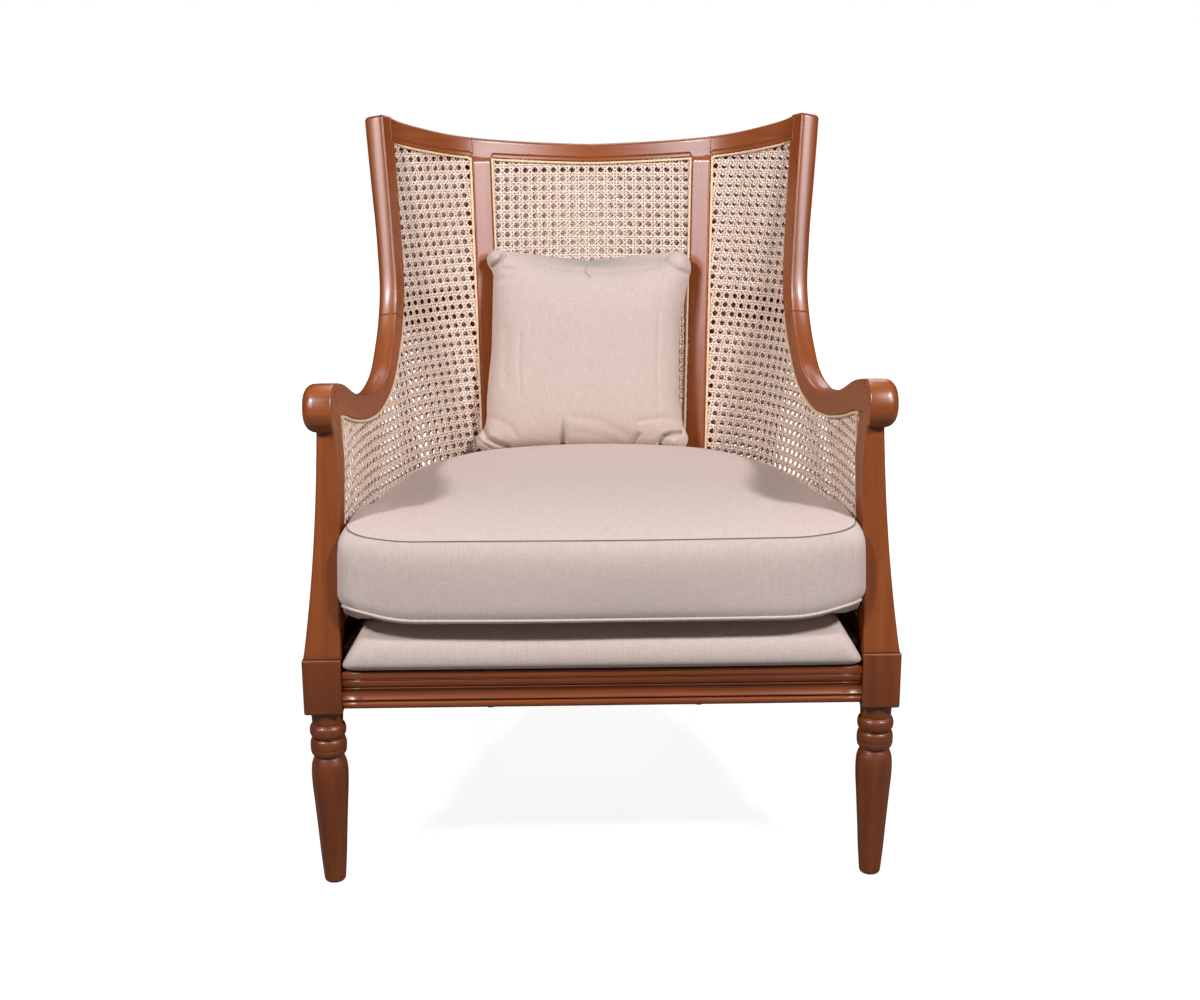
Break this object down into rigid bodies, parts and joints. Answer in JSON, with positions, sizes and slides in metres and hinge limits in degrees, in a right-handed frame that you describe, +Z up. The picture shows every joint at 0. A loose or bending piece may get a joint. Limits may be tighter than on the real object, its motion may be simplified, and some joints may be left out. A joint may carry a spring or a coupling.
{
  "type": "cane wing armchair",
  "caption": "Tub armchair with a swept wooden frame, scrolled arms on turned legs, woven cane back and side panels, and loose seat and scatter cushions.",
  "frame": {"origin": "on the floor, in the middle of the chair's footprint", "axes": "+Z up, -Y towards the front of the chair, +X towards the right when seen from the front"},
  "size_m": [0.74, 0.6886, 0.953],
  "materials": {
    "wood": "satin lacquer",
    "leg_wood": "satin lacquer",
    "hidden_wood": "unfinished",
    "cane": "matt woven cane",
    "spline": "satin reed",
    "linen": "slub linen weave",
    "webbing": "jute webbing",
    "cambric": "black cloth",
    "steel": "zinc plated"
  },
  "bodies": {
    "frame": {"front_leg_right": "leg_wood", "arm_post_right": "wood", "back_post_right": "wood", "side_rail_right": "wood", "panel_rail_side_right": "wood", "crest_rail_right": "wood", "wing_post_right": "wood", "arm_right": "wood", "wing_brace_right": "hidden_wood", "cane_inner_right": "cane", "cane_outer_right": "cane", "cane_spline_inner_right": "spline", "cane_spline_outer_right": "spline", "corner_block_front_right": "hidden_wood", "corner_block_rear_right": "hidden_wood", "corner_screw_front_right": "steel", "corner_screw_rear_right": "steel", "front_leg_left": "leg_wood", "arm_post_left": "wood", "back_post_left": "wood", "side_rail_left": "wood", "panel_rail_side_left": "wood", "crest_rail_left": "wood", "wing_post_left": "wood", "arm_left": "wood", "wing_brace_left": "hidden_wood", "cane_inner_left": "cane", "cane_outer_left": "cane", "cane_spline_inner_left": "spline", "cane_spline_outer_left": "spline", "corner_block_front_left": "hidden_wood", "corner_block_rear_left": "hidden_wood", "corner_screw_front_left": "steel", "corner_screw_rear_left": "steel", "front_rail": "wood", "back_rail": "wood", "panel_rail_back": "wood", "crest_rail_middle": "wood", "cane_inner_middle": "cane", "cane_outer_middle": "cane", "cane_spline_inner_middle": "spline", "cane_spline_outer_middle": "spline", "seat_deck": "linen", "dust_cover": "cambric", "long_strap_1": "webbing", "long_strap_2": "webbing", "long_strap_3": "webbing", "long_strap_4": "webbing", "cross_strap_1": "webbing", "cross_strap_2": "webbing", "cross_strap_3": "webbing"},
    "seat_cushion": {"seat_cushion": "linen"},
    "scatter_cushion": {"scatter_cushion": "linen"}
  },
  "joints": [
    {"name": "seat_cushion_out", "type": "slide", "parent": "frame", "child": "seat_cushion", "axis": [0, -1, 0], "range_m": [0, 0.58]},
    {"name": "scatter_cushion_lift", "type": "slide", "parent": "seat_cushion", "child": "scatter_cushion", "axis": [0, 0, 1], "range_m": [0, 0.3]}
  ]
}
